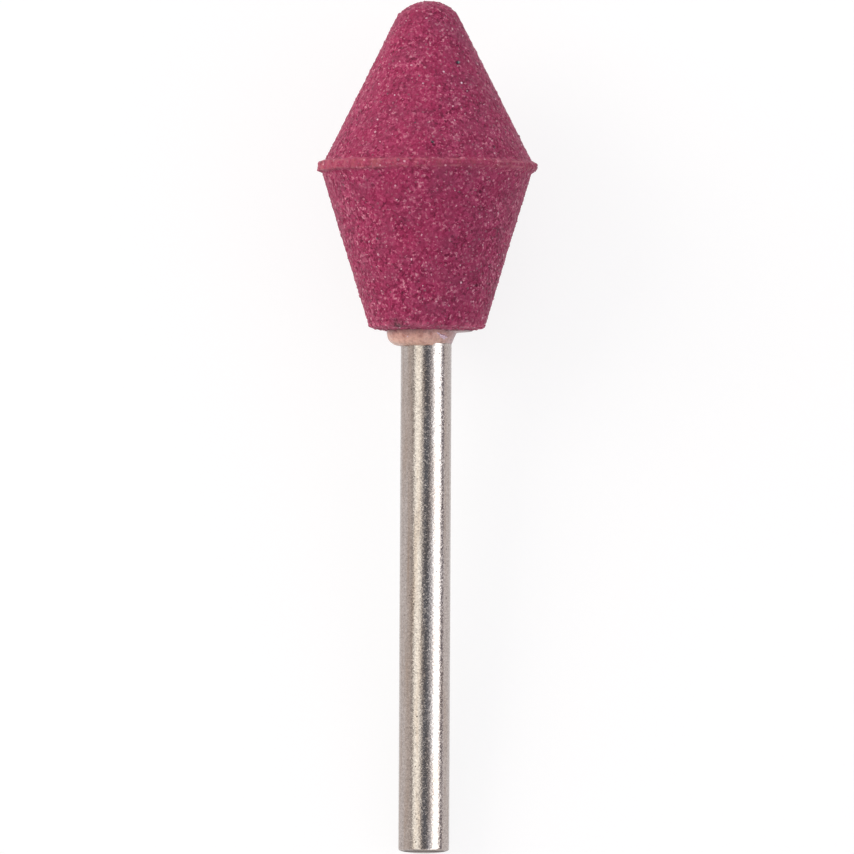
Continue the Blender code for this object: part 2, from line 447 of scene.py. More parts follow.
# %% [markdown]
# ## The flash ring
#
# Where the mould's halves meet, a thin ring of mix is squeezed out. It isn't even: on the left it is a blunt
# band with a burr at its lower corner, on the right it thins to a ridge, and its rim wanders a little. It is
# made by moving the rows near the parting line outwards, by a height that depends on the angle. Numbers on
# the points tell the material where the flash is dense or peachy, and where the ring's corners and the heel's
# edge are painted paler, as painted highlights where those edges catch the light.

# %% Shape of the flash
RING_RADIUS = 6.48 * MM
RING_WANDER = 0.03 * MM
RING_STEP = 0.05 * MM  # rows stand closer on the ring, to keep its corners
RING_REACH = 0.6 * MM
CORNER_REACH = 0.075 * MM


def drift(angle, waves, seed):
    """A smooth random number between about -1 and 1 that closes round the ring."""
    return noise.noise(Vector((math.cos(angle) * waves, math.sin(angle) * waves, seed))) * 1.6


def bluntness(angle):
    """1 on the left, where the flash is a blunt band, and 0 on the right, where it is a thin ridge."""
    return 0.5 - 0.5 * math.cos(angle)


def ring_share(height, angle):
    """How far out the skin stands at this height over the parting line, and how near to a corner it is."""
    blunt = bluntness(angle)
    facing = max(0.0, -math.sin(angle)) ** 2  # the flash is worn on the side that faces the camera
    rim_top = (0.17 + 0.08 * blunt + 0.03 * drift(angle, 5, 1.0)) * MM
    rim_low = (-0.10 - 0.16 * blunt + 0.03 * drift(angle, 6, 2.0)) * MM
    root_top = rim_top + (0.24 - 0.08 * blunt + 0.05 * drift(angle, 4, 3.0)) * MM
    root_low = rim_low - (0.28 - 0.2 * blunt) * MM - 0.10 * MM * facing
    corner = max(0.0, 1 - min(abs(height - rim_top), abs(height - rim_low)) / CORNER_REACH)
    lower = 1 - 0.42 * facing
    if height > rim_top:
        return lower * max(0.0, 1 - (height - rim_top) / (root_top - rim_top)) ** 1.4, corner
    if height < rim_low:
        return lower * max(0.0, 1 - (rim_low - height) / (rim_low - root_low)) ** (1 + 0.5 * facing), corner
    across = (2 * height - rim_top - rim_low) / (rim_top - rim_low)
    return lower + 0.16 * facing * (1 - across**2), corner


# %% Rows of the stone with its flash
FRONT_CONE = (STONE_RADIUS - SHOULDER_RADIUS) / (SHOULDER - PARTING)  # radius lost for each metre of height
BACK_CONE = -(STONE_RADIUS - HEEL_RADIUS) / (PARTING - HEEL_EDGE)

ring_rows = []
for radius, height in skin_rows:
    if abs(height - PARTING) > RING_REACH:
        ring_rows.append((radius, height))
    elif ring_rows[-1][1] > PARTING + RING_REACH:
        for step in range(round(2 * RING_REACH / RING_STEP) + 1):
            above = RING_REACH - step * RING_STEP
            cone = BACK_CONE if above < 0 else FRONT_CONE
            ring_rows.append((STONE_RADIUS - cone * above, PARTING + above))
print(len(ring_rows), "rows with the ring's own")

# %% Move the rows, and number their points
SEAT_RADIUS = 2.3 * MM
SEAT_GRIT = 0.25  # the heel is smoother under the cement
# the band along the heel's edge that gets a painted highlight
HEEL_HIGHLIGHT_HEIGHT = HEEL_EDGE + 0.05 * MM
HEEL_HIGHLIGHT_REACH = 0.24 * MM
CRUMBLE_REACH = 0.40 * MM  # round the heel's edge the grains are loose, so it is rougher


def nearness(height, middle_height, reach):
    """1 at the middle height, and 0 from this reach on."""
    return max(0.0, 1 - abs(height - middle_height) / reach)


def kept(number):
    """The number, kept between 0 and 1."""
    return min(1.0, max(0.0, number))


stone_rows, flash, rim_highlights, peach, heel_edge_highlight, grit = [], [], [], [], [], []
for radius, height in ring_rows:
    angles, row = round_row(radius, height, GRAIN_STEP)
    on_ring = abs(height - PARTING) <= RING_REACH
    under_cement = height < HEEL + GLUE_GAP and radius < SEAT_RADIUS
    heel_highlight_nearness = nearness(height, HEEL_HIGHLIGHT_HEIGHT, HEEL_HIGHLIGHT_REACH)
    crumbled = nearness(height, HEEL_EDGE, CRUMBLE_REACH)
    for point, angle in zip(row, angles):
        share, corner = ring_share(height - PARTING, angle) if on_ring else (0.0, 0.0)
        if share:
            rim = RING_RADIUS + RING_WANDER * drift(angle, 7, 4.0)
            point.xy *= 1 + share * (rim / radius - 1)
        point.x += mould_shift(height)
        blunt = bluntness(angle)
        flash.append(kept(share * (0.75 + 0.25 * blunt + 0.35 * drift(angle, 5, 6.0))))
        # painted highlight on the ring's corners
        rim_highlights.append(kept(corner * (0.30 + 1.2 * drift(angle, 17, 5.0))))
        # painted highlight along the heel's edge
        heel_edge_highlight.append(kept(heel_highlight_nearness * (0.65 + 1.1 * drift(angle, 9, 15.0))))
        peach.append(kept(share * (0.7 * blunt**2 - 0.25 + drift(angle, 13, 10.0))))
        grit.append(SEAT_GRIT if under_cement else 1 - 0.15 * flash[-1] + 0.9 * crumbled)
    stone_rows.append(row)

# %% Close the skin through the bore
BORE_STEPS = 4
BORE_STEP = 0.3 * MM
for step in range(1, BORE_STEPS + 1):
    stone_rows.append(round_row(BORE_RADIUS, HEEL + BORE_DEPTH * step / BORE_STEPS, BORE_STEP)[1])
stone_rows.append([Vector((0, 0, HEEL + BORE_DEPTH))])
bore_points = sum(len(row) for row in stone_rows) - len(flash)
numbers = {"flash": flash, "corner": rim_highlights, "peach": peach, "heel_edge_highlight": heel_edge_highlight, "grit": grit}
for point_numbers in numbers.values():
    point_numbers.extend([0.0] * bore_points)
points, faces = zip_rows(stone_rows)
smooth_stone = laid_piece("smooth_stone", points, faces, **numbers)
print(f"The stone's skin has {len(points)} points and {len(faces)} triangles")

# %% [markdown]
# ## Pressing the grain
#
# The stone is grains held by a little bond, so its skin is tiny flats at all angles. Geometry Nodes move each
# point along its normal by the height and tilt of the Voronoi cell that it falls in. A cell is one grain.
# The number called grit says how strongly: fully on the cones, more round the crumbled edge of the heel,
# less on the fine, dense flash and not at all in the bore. The skin is then shaded flat, as a facet is.

# %% Helpers for Geometry Nodes
def geometry_tree(name, numbers):
    """A Geometry Nodes tree with these named number inputs, and its input and output nodes."""
    tree = bpy.data.node_groups.new(name, "GeometryNodeTree")
    tree.interface.new_socket("Geometry", in_out="INPUT", socket_type="NodeSocketGeometry")
    tree.interface.new_socket("Geometry", in_out="OUTPUT", socket_type="NodeSocketGeometry")
    for label, default in numbers.items():
        kind = "NodeSocketInt" if isinstance(default, int) else "NodeSocketFloat"
        tree.interface.new_socket(label, in_out="INPUT", socket_type=kind).default_value = default
    tree.interface.new_socket("Material", in_out="INPUT", socket_type="NodeSocketMaterial")
    return tree, tree.nodes.new("NodeGroupInput"), tree.nodes.new("NodeGroupOutput")


def close_tree(tree, geometry, entry, leave):
    """Ends a tree as every one here ends: real geometry with its material."""
    real = add(tree, "GeometryNodeRealizeInstances", Geometry=geometry).outputs[0]
    dressed = add(tree, "GeometryNodeSetMaterial", Geometry=real, Material=entry.outputs["Material"])
    tree.links.new(dressed.outputs[0], leave.inputs[0])


def grown(source, tree, name, **values):
    """A new object with the plain mesh that the tree makes from the source object with these values."""
    modifier = source.modifiers.new(tree.name, "NODES")
    modifier.node_group = tree
    for item in tree.interface.items_tree:
        if item.in_out == "INPUT" and item.name in values:
            modifier[item.identifier] = values[item.name]
    ready = source.evaluated_get(bpy.context.evaluated_depsgraph_get())
    mesh = bpy.data.meshes.new_from_object(ready)
    mesh.name = name
    source.modifiers.remove(modifier)
    print(f"{name}: {len(mesh.polygons)} faces")
    return placed(name, mesh)


# %% Tree that presses the grain
press, entry, leave = geometry_tree("press_grain", {"Grain": 0.17 * MM, "Relief": 0.03 * MM, "Tilt": 0.3})
here = add(press, "GeometryNodeInputPosition").outputs[0]
per_metre = calc(press, "DIVIDE", 1.0, entry.outputs["Grain"])
cell = add(press, "ShaderNodeTexVoronoi", Vector=here, Scale=per_metre)
chance = vector_calc(press, "SUBTRACT", cell.outputs["Color"], (0.5, 0.5, 0.5))
from_middle = vector_calc(press, "SUBTRACT", here, cell.outputs["Position"])
lean = vector_calc(press, "DOT_PRODUCT", from_middle, chance)
lean = calc(press, "MULTIPLY", lean, entry.outputs["Tilt"])
rise = add(press, "ShaderNodeSeparateXYZ", Vector=chance).outputs["X"]
rise = calc(press, "MULTIPLY_ADD", rise, entry.outputs["Relief"], lean)
grit_here = add(press, "GeometryNodeInputNamedAttribute", {"data_type": "FLOAT"}, Name="grit")
rise = calc(press, "MULTIPLY", rise, grit_here.outputs["Attribute"])
outwards = add(press, "GeometryNodeInputNormal").outputs[0]
push = vector_calc(press, "SCALE", outwards, Scale=rise)
pressed = add(press, "GeometryNodeSetPosition", Geometry=entry.outputs["Geometry"], Offset=push)
flat = add(press, "GeometryNodeSetShadeSmooth", Geometry=pressed.outputs[0], Shade_Smooth=False)
close_tree(press, flat.outputs[0], entry, leave)
print("The pressing tree has", len(press.nodes), "nodes")

# %% [markdown]
# ## The colour of pink corundum
#
# The grain is ruby coloured, but each crystal shows its own shade: deep crimson where it is thick, pale pink
# where a fresh facet catches the light, which the palest shade partly paints in as a painted highlight. A
# Voronoi pattern gives each grain its colour, and a finer one breaks the grains up. One noise makes small
# patches dull, and a slower one makes large patches rich. The flash is denser bond, so it is dustier, and the
# ring's corners and the heel's edge are painted paler, as painted highlights. A smear of old bond darkens the
# heel's edge in one place.

# %% Shades of the stone
GRAIN_SIZE = 0.185 * MM
GRAIN_SHADES = [
    (0.05, (0.100, 0.006, 0.029)),
    (0.26, (0.225, 0.016, 0.061)),
    (0.50, (0.335, 0.028, 0.095)),
    (0.72, (0.430, 0.056, 0.144)),
    (0.84, (0.545, 0.128, 0.220)),
    # the palest stop is partly a painted highlight of fresh facets
    (0.94, (0.690, 0.300, 0.380)),
]
PATCHES = [  # size in mm, the noise where a patch starts and is full, how much it covers, its shade
    (1.1, 0.40, 0.68, 0.50, (0.270, 0.050, 0.105)),
    (2.4, 0.46, 0.62, 0.27, (0.410, 0.034, 0.110)),
]
BOND_SHADES_AND_HIGHLIGHTS = [  # the number on the points, how much its shade covers at most, its shade
    ("flash", 0.31, (0.440, 0.085, 0.128)),
    ("peach", 0.28, (0.560, 0.195, 0.170)),
    # the next two shades are painted highlights on the ring's corners and the heel's edge
    ("corner", 0.45, (0.610, 0.220, 0.250)),
    ("heel_edge_highlight", 0.52, (0.790, 0.185, 0.310)),
]
STAIN_PLACE = Vector((-1.62, -2.80, 31.06)) * MM
STAIN_SHADE = (0.055, 0.030, 0.032)
STAIN_RAGGED = 0.35 * MM


# %% Helpers for the stone's colour
def cell_chances(tree, place, per_metre):
    """The Red, Green and Blue chance of each cell of a Voronoi pattern."""
    cell = add(tree, "ShaderNodeTexVoronoi", Vector=place, Scale=per_metre)
    return add(tree, "ShaderNodeSeparateColor", Color=cell.outputs["Color"]).outputs


def patched(tree, place, shade):
    """The shade, made duller in small patches and richer in large ones."""
    for size, low, high, most, patch_shade in PATCHES:
        patch = clouds(tree, place, size * MM, 3.0)
        shade = mixed(tree, remap(tree, patch, low, high, 0.0, most), shade, patch_shade)
    return shade


def stain_share(tree, place, inner, outer, most):
    """How strongly the smear darkens this place: most inside the inner distance, 0 past the outer one."""
    away = vector_calc(tree, "DISTANCE", place, LAID @ STAIN_PLACE)
    ragged = remap(tree, clouds(tree, place, 0.25 * MM, 3.0), 0.3, 0.7, 0.0, STAIN_RAGGED)
    return remap(tree, calc(tree, "ADD", away, ragged), outer, inner, 0.0, most)


def point_number(tree, name, factor=None):
    """A number from the mesh's points, times a factor if there is one."""
    number = add(tree, "ShaderNodeAttribute", {"attribute_name": name}).outputs["Fac"]
    return calc(tree, "MULTIPLY", number, factor) if factor else number


def bump(tree, shader, height, strength, distance):
    """Tilts the shading by the slopes of this height, for relief that is too fine to model."""
    relief = add(tree, "ShaderNodeBump", Height=height, Strength=strength, Distance=distance)
    tree.links.new(relief.outputs[0], shader.inputs["Normal"])


# %% Material of the pressed stone
ruby_grit, tree, shader = start_material("ruby_grit")
place = add(tree, "ShaderNodeTexCoord").outputs["Object"]
big = cell_chances(tree, place, 1 / GRAIN_SIZE)["Red"]
small = cell_chances(tree, place, 1.8 / GRAIN_SIZE)["Green"]
chance = add(tree, "ShaderNodeMix", in0=0.42, in2=big, in3=small).outputs[0]
shade = patched(tree, place, ramp(tree, chance, GRAIN_SHADES))
for name, most, marked_shade in BOND_SHADES_AND_HIGHLIGHTS:
    shade = mixed(tree, point_number(tree, name, most), shade, marked_shade)
shade = mixed(tree, stain_share(tree, place, 0.36 * MM, 0.72 * MM, 0.80), shade, STAIN_SHADE)
tree.links.new(shade, shader.inputs["Base Color"])
polish = cell_chances(tree, place, 1 / (0.15 * MM))["Blue"]
tree.links.new(remap(tree, polish, 0.0, 1.0, 0.72, 0.42), shader.inputs["Roughness"])
shader.inputs["Specular IOR Level"].default_value = 0.16
shader.inputs["Sheen Weight"].default_value = 0.055  # its own fine dust pales it where it is seen edge on
shader.inputs["Sheen Roughness"].default_value = 0.5
shader.inputs["Sheen Tint"].default_value = (1.0, 0.90, 0.92, 1)
facet = add(tree, "ShaderNodeTexVoronoi", Vector=place, Scale=1 / (0.10 * MM))
bump(tree, shader, facet.outputs["Distance"], 0.5, 0.03 * MM)
print("ruby_grit has", len(tree.nodes), "nodes")

# %% The pressed stone
pressing = {"Grain": 0.20 * MM, "Relief": 0.034 * MM, "Tilt": 0.35, "Material": ruby_grit}
stone = grown(smooth_stone, press, "stone_body", **pressing)
bpy.data.objects.remove(smooth_stone)

# %% [markdown]
# ## Loose-looking crystals
#
# Some grains stand clear of the skin. They are scattered over the stone as small twelve-cornered lumps, sunk
# past their middle, each with its own squash, turn and tint. The pale ones are lighter crystals, and their
# pale shades also paint the sparkle in, as painted glints. A few are dark: other grit gets into every mix.

# %% Tree that scatters crystals
crystal_sizes = {"Apart": 0.2 * MM, "Size": 0.06 * MM, "Sunk": 0.4, "Seed": 0}
scatter, entry, leave = geometry_tree("scatter_crystals", crystal_sizes)
MOST_CRYSTALS = 1e9  # on a square metre; the distance apart is what limits them


def chance_between(low, high, salt):
    """A random number or vector for each crystal."""
    kind = "FLOAT_VECTOR" if isinstance(low, tuple) else "FLOAT"
    seed = calc(scatter, "ADD", entry.outputs["Seed"], float(salt))
    node = add(scatter, "FunctionNodeRandomValue", {"data_type": kind}, Seed=seed)
    first = 0 if kind == "FLOAT_VECTOR" else 2
    node.inputs[first].default_value = low
    node.inputs[first + 1].default_value = high
    return node.outputs[first // 2]


grit_here = add(scatter, "GeometryNodeInputNamedAttribute", {"data_type": "FLOAT"}, Name="grit")
spread = add(
    scatter, "GeometryNodeDistributePointsOnFaces", {"distribute_method": "POISSON"},
    Mesh=entry.outputs["Geometry"], Distance_Min=entry.outputs["Apart"], Density_Max=MOST_CRYSTALS,
    Density_Factor=grit_here.outputs["Attribute"], Seed=entry.outputs["Seed"],
)
sink = calc(scatter, "MULTIPLY", entry.outputs["Size"], entry.outputs["Sunk"])
sink = calc(scatter, "MULTIPLY", sink, -1.0)
inwards = vector_calc(scatter, "SCALE", spread.outputs["Normal"], Scale=sink)
seats = add(scatter, "GeometryNodeSetPosition", Geometry=spread.outputs["Points"], Offset=inwards)
tinted = add(
    scatter, "GeometryNodeStoreNamedAttribute", {"data_type": "FLOAT", "domain": "POINT"},
    Geometry=seats.outputs[0], Name="tint", Value=chance_between(0.0, 1.0, 1),
)
lump = add(scatter, "GeometryNodeMeshIcoSphere", Radius=1.0, Subdivisions=1)
squash = chance_between((0.4, 0.4, 0.4), (1.35, 1.35, 1.35), 2)
crystals = add(
    scatter, "GeometryNodeInstanceOnPoints", Points=tinted.outputs[0], Instance=lump.outputs["Mesh"],
    Rotation=chance_between((0.0, 0.0, 0.0), (math.tau, math.tau, math.tau), 3),
    Scale=vector_calc(scatter, "SCALE", squash, Scale=entry.outputs["Size"]),
)
close_tree(scatter, crystals.outputs[0], entry, leave)
print("The scattering tree has", len(scatter.nodes), "nodes")


# %% Crystal materials
CORUNDUM_IOR = 1.77
# pale crystals: partly their own colour, partly painted glints
PALE_SHADES = [(0.1, (0.48, 0.12, 0.19)), (0.5, (0.62, 0.26, 0.34)), (0.9, (0.80, 0.49, 0.59))]
DARK_SHADES = [(0.2, (0.035, 0.008, 0.016)), (0.8, (0.075, 0.030, 0.050))]


def crystal_material(name, shades, roughness, in_patches=False):
    """A glossy mineral whose shade is drawn from these by each crystal's tint, with cloudy flaws inside."""
    material, tree, shader = start_material(name)
    place = add(tree, "ShaderNodeTexCoord").outputs["Object"]
    flaws = clouds(tree, place, 0.07 * MM, 2.0)
    chance = add(tree, "ShaderNodeMix", in0=0.25, in2=point_number(tree, "tint"), in3=flaws).outputs[0]
    shade = ramp(tree, chance, shades)
    if in_patches:
        shade = patched(tree, place, shade)
    tree.links.new(shade, shader.inputs["Base Color"])
    rough = remap(tree, flaws, 0.0, 1.0, roughness - 0.1, roughness + 0.15)
    tree.links.new(rough, shader.inputs["Roughness"])
    shader.inputs["IOR"].default_value = CORUNDUM_IOR
    return material


ruby_crystal = crystal_material("ruby_crystal", GRAIN_SHADES, 0.4, in_patches=True)
pale_crystal = crystal_material("pale_crystal", PALE_SHADES, 0.38)
dark_crystal = crystal_material("dark_crystal", DARK_SHADES, 0.45)
print("The crystals refract with an index of", CORUNDUM_IOR)

# %% Scatter three kinds of crystal
CRYSTALS = [  # name, distance apart and size in mm, share of the size it is sunk, seed, material
    ("ruby_crystals", 0.27, 0.10, 0.72, 3, ruby_crystal),
    ("pale_crystals", 0.84, 0.088, 0.62, 11, pale_crystal),
    ("dark_crystals", 1.9, 0.060, 0.55, 29, dark_crystal),
]
loose = [
    grown(stone, scatter, name, Apart=apart * MM, Size=size * MM, Sunk=sunk, Seed=seed, Material=material)
    for name, apart, size, sunk, seed, material in CRYSTALS
]

# %% [markdown]
# ## A few crystals that anyone would notice
#
# Some specks in the photograph stand out, so these are set one by one: dark ones high on the nose side, a
# blue-black one over the ring, and a few bright facets. Each is given by its height on the tool, its angle
# from the side that faces the camera, and its size.

# %% Specks set one by one
SPECKS = [  # height in mm, angle in degrees, size in mm, tint
    (46.60, 33.5, 0.125, 0.0), (41.78, 2.5, 0.105, 0.1), (45.77, -8.5, 0.080, 0.3),
    (43.91, 25.4, 0.070, 0.3), (44.71, -35.3, 0.070, 0.4), (44.62, -28.0, 0.085, 0.95),
    (46.03, 15.3, 0.070, 0.9), (45.31, -4.5, 0.080, 0.85), (45.37, 30.6, 0.070, 0.95),
    (44.91, 33.9, 0.070, 0.8),
]
# the near-white stop is partly the pale grains' own colour, partly a painted glint on their facets
SPECK_SHADES = [
    (0.1, (0.016, 0.014, 0.026)), (0.35, (0.060, 0.012, 0.030)),
    (0.7, (0.66, 0.33, 0.42)), (0.9, (0.93, 0.82, 0.92)),
]


def round_place(radius, degrees, height, aside=0.0):
    """A place on a turned piece, by its angle to the right of the side that faces the camera."""
    angle = math.radians(degrees)
    return Vector((radius * math.sin(angle) + aside, -radius * math.cos(angle), height))


def stone_radius(height):
    """The stone's radius at this height, without its ring."""
    radii, heights = zip(*reversed(stone_outline))
    return float(np.interp(height, heights, radii))


def set_crystals(name, seats, material, chances):
    """One piece made of squashed twelve-cornered lumps, one for each (place, size, tint)."""
    points, faces, tints = [], [], []
    for seat, size, tint in seats:
        work = bmesh.new()
        bmesh.ops.create_icosphere(work, subdivisions=1, radius=1)
        squash = Matrix.Diagonal([size * chances.uniform(0.7, 1.3) for _ in range(3)]).to_4x4()
        turn = Matrix.Rotation(chances.uniform(0, math.tau), 4, chances.choice("XYZ"))
        work.transform(Matrix.Translation(seat) @ turn @ squash)
        faces.extend([[len(points) + corner.index for corner in face.verts] for face in work.faces])
        points.extend([corner.co.copy() for corner in work.verts])
        tints.extend([tint] * len(work.verts))
        work.free()
    piece = laid_piece(name, points, faces, material, tint=tints)
    piece.data.shade_flat()
    print(f"{name}: {len(seats)} set by hand")
    return piece


chances = random.Random(5)
speck_seats = []
for height, degrees, size, tint in SPECKS:
    radius = stone_radius(height * MM) - 0.5 * size * MM
    seat = round_place(radius, degrees, height * MM, mould_shift(height * MM))
    speck_seats.append((seat, size * MM, tint))
speck_crystal = crystal_material("speck_crystal", SPECK_SHADES, 0.22)
loose.append(set_crystals("specks", speck_seats, speck_crystal, chances))

# %% [markdown]
# ## The cement
#
# The shank is cemented into the stone's bore. The thimble of cement round it can't be seen, but what was
# squeezed out shows as a bead under the heel. The tool cured at a slight lean: on its left the bead is full
# and bulges, on its right it is drawn up into a hollow fillet, with a scallop where it was wiped, and a thin
# film of it was wiped out over the heel.

# %% Outside of the bead
SHANK_RADIUS = 1.5 * MM
FULL_SIDE = math.radians(200)
BEAD_ROWS = 26
BEAD_POINTS = 168
ROD_CLEARANCE = 0.002 * MM  # the lip stops just off the steel
HEEL_CLEARANCE = 0.003 * MM  # and the bead just off the stone
FILM_REACH = 0.84 * MM
FILM_THICKNESS = 0.13 * MM
FILM_MIDDLE = 86  # degrees to the right of the side that faces the camera
FILM_HALF = 36


def smooth_step(low, high, value):
    """0 below low, 1 above high, and an easy S between."""
    share = kept((value - low) / (high - low))
    return share * share * (3 - 2 * share)


def fullness(angle):
    """1 where the bead bulges most, and 0 opposite."""
    return 0.5 + 0.5 * math.cos(angle - FULL_SIDE)


def bead_point(angle, down):
    """A point of the bead's outside; down is 0 at the heel and 1 at the lip on the shank."""
    full = fullness(angle)
    right_of_front = math.degrees((angle + math.pi / 2 + math.pi) % math.tau - math.pi)
    scallop = smooth_step(12, 24, right_of_front) * (1 - smooth_step(95, 140, right_of_front))
    drop = (0.94 - 0.14 * scallop + 0.03 * drift(angle, 3, 7.0)) * MM
    spread = (0.34 + 0.51 * full + 0.03 * drift(angle, 4, 8.0)) * MM
    bulge = full * max(0.0, 1 - down**2.9) ** 0.55 + (1 - full) * (1 - down) ** 1.1
    film = FILM_REACH * math.exp(-(((right_of_front - FILM_MIDDLE) / FILM_HALF) ** 4))
    film *= 1 + 0.25 * drift(angle, 9, 12.0) + 0.16 * drift(angle, 25, 14.0)
    film *= max(0.0, 1 - (down * drop / FILM_THICKNESS) ** 2)
    ripple = 0.012 * MM * drift(angle, 9, 9.0 + 3 * down) * math.sin(math.pi * down)
    radius = SHANK_RADIUS + ROD_CLEARANCE + spread * bulge + film + ripple
    return Vector((radius * math.cos(angle), radius * math.sin(angle), HEEL - HEEL_CLEARANCE - drop * down))


# %% Whole skin of the cement
SHANK_TIP = HEEL + 10.4 * MM
THIMBLE = [  # how far in from the bore's wall and down from its end, in mm
    (0.30, 0.0), (0.09, 0.09), (0.0, 0.30), (0.0, 4.0), (0.0, 8.0), (0.0, 10.95),
]
SOCKET_HEIGHTS = (HEEL - 0.5 * MM, HEEL + 2 * MM, HEEL + 6 * MM, SHANK_TIP - 0.15 * MM)
SOCKET_BEVEL = 0.15 * MM
HIDDEN_STEP = 0.2 * MM

wall, top = BORE_RADIUS - GLUE_GAP, HEEL + BORE_DEPTH - GLUE_GAP
cement_rows = [[Vector((0, 0, top))]]
for inset, drop in THIMBLE:
    cement_rows.append(round_row(wall - inset * MM, top - drop * MM, HIDDEN_STEP)[1])
unseen = sum(len(row) for row in cement_rows)
bead_angles = [math.tau * step / BEAD_POINTS for step in range(BEAD_POINTS)]
downs = [(step / BEAD_ROWS) ** 1.3 for step in range(BEAD_ROWS + 1)]
for down in downs:
    cement_rows.append([bead_point(angle, down) for angle in bead_angles])
down_numbers = [0.0] * unseen + [down for down in downs for _ in bead_angles]
full_numbers = [0.5] * unseen + [fullness(angle) for _ in downs for angle in bead_angles]
for height in SOCKET_HEIGHTS:
    cement_rows.append(round_row(SHANK_RADIUS + GLUE_GAP, height, HIDDEN_STEP)[1])
cement_rows.append(round_row(SHANK_RADIUS - SOCKET_BEVEL, SHANK_TIP + GLUE_GAP, HIDDEN_STEP)[1])
cement_rows.append([Vector((0, 0, SHANK_TIP + GLUE_GAP))])
points, faces = zip_rows(cement_rows)
down_numbers.extend([1.0] * (len(points) - len(down_numbers)))
full_numbers.extend([0.5] * (len(points) - len(full_numbers)))
print(f"The cement has {len(faces)} triangles")

# %% [markdown]
# ## Cured resin cement
#
# Filled resin is peach coloured and a little waxy, so some light goes through it. It is darker and browner
# towards the heel: partly dust it took up from the stone, partly painted shade under the heel's overhang. It
# is greyer where it is thin, and it cured with a wet-looking skin.

# %% Material of the cement
# the dark first stops, here and in the thin shades, are partly painted shade under the heel
FULL_SHADES = [
    (0.00, (0.330, 0.142, 0.145)), (0.08, (0.415, 0.202, 0.182)), (0.17, (0.520, 0.281, 0.245)),
    (0.27, (0.690, 0.390, 0.322)), (0.60, (0.815, 0.500, 0.398)), (0.95, (0.790, 0.510, 0.388)),
]
THIN_SHADES = [
    (0.00, (0.235, 0.120, 0.150)), (0.18, (0.430, 0.265, 0.290)),
    (0.50, (0.570, 0.400, 0.410)), (0.80, (0.650, 0.470, 0.475)),
]
RESIN_MOTTLE = (0.62, 0.49, 0.48)

cured_cement, tree, shader = start_material("cured_cement")
place = add(tree, "ShaderNodeTexCoord").outputs["Object"]
cloud = clouds(tree, place, 0.35 * MM, 4.0, 0.6)
wander = calc(tree, "MULTIPLY_ADD", cloud, 0.55, -0.275)
edge = calc(tree, "ADD", point_number(tree, "down"), wander)
edge = calc(tree, "SUBTRACT", edge, stain_share(tree, place, 0.60 * MM, 2.0 * MM, 0.11))
thick = ramp(tree, edge, FULL_SHADES)
thin = ramp(tree, edge, THIN_SHADES)
resin = mixed(tree, remap(tree, point_number(tree, "full"), 0.08, 0.5), thin, thick)
mottle = remap(tree, clouds(tree, place, 0.24 * MM, 4.0, 0.65), 0.42, 0.66, 0.0, 0.85)
resin = mixed(tree, mottle, resin, RESIN_MOTTLE, "MULTIPLY")
tree.links.new(resin, shader.inputs["Base Color"])
tree.links.new(remap(tree, cloud, 0.3, 0.7, 0.22, 0.42), shader.inputs["Roughness"])
shader.inputs["Subsurface Weight"].default_value = 0.15
shader.inputs["Subsurface Radius"].default_value = (1.0, 0.5, 0.3)
shader.inputs["Subsurface Scale"].default_value = 0.15 * MM
bump(tree, shader, clouds(tree, place, 0.16 * MM, 3.0), 0.6, 0.04 * MM)
cement = laid_piece("cement_bead", points, faces, cured_cement, down=down_numbers, full=full_numbers)
print("cured_cement has", len(tree.nodes), "nodes")

# %% [markdown]
# ## Grains stuck in the cement
#
# Where the bead was wiped, a few loose grains stuck to it while it was wet. Their near-white tint is partly
# their own colour and partly a painted glint there. Each is given by its angle to the right of the side that
# faces the camera, by how far down the bead it is and by its size.

# %% Stray grains
STRAYS = [  # angle in degrees, share of the way down, size in mm
    (19, 0.24, 0.070), (22, 0.30, 0.085), (25, 0.40, 0.095), (27, 0.54, 0.075), (30, 0.42, 0.110),
    (33, 0.56, 0.095), (35, 0.46, 0.105), (37, 0.62, 0.090), (41, 0.53, 0.080), (-30, 0.46, 0.045),
    (150, 0.45, 0.050), (215, 0.30, 0.060),
]
# near-white: partly the grains' colour, partly a painted glint
STRAY_TINT_AND_GLINT = 0.95
stray_seats = []
for degrees, down, size in STRAYS:
    stray_seats.append((bead_point(math.radians(degrees - 90), down), size * MM, STRAY_TINT_AND_GLINT))
strays = set_crystals("stray_grains", stray_seats, speck_crystal, chances)

# %% [markdown]
# ## The shank
#
# The shank is 3 mm ground rod. Its outline is nearly a plain line, so what makes it real is a true round with
# many sides, a rounded free end, and the diamond knurl that keys its buried end into the cement. Two sets of
# V grooves cross there: each point sinks by its distance from the nearer groove.

# %% Shape of the shank
END_OUTLINE = [  # radius and height of the free end's rounded edge and slight dome, and how dull and painted dark it is there
    (1.500, 0.270, 0.0), (1.490, 0.205, 0.0), (1.430, 0.155, 0.1), (1.330, 0.123, 0.8), (1.150, 0.085, 0.9),
    (0.900, 0.052, 0.6), (0.600, 0.024, 0.3), (0.300, 0.006, 0.2), (0.0, 0.0, 0.2),
]
ROD_STEP = 0.063 * MM
TIP_BEVEL = 0.2 * MM
PLAIN_ROWS = 24
KNURL_LOW, KNURL_HIGH = HEEL + 2.0 * MM, SHANK_TIP - 0.5 * MM
KNURL_PITCH = 0.4 * MM
KNURL_DEPTH = 0.12 * MM
KNURL_AROUND = 25
KNURL_FINE = 4  # points along each pitch, both ways


def groove_depth(around, up):
    """How deep the nearer of the two crossing grooves is here; both are counted in pitches."""
    groove = min(abs((around + up) % 1 - 0.5), abs((around - up) % 1 - 0.5)) * 2
    return KNURL_DEPTH * (1 - groove)


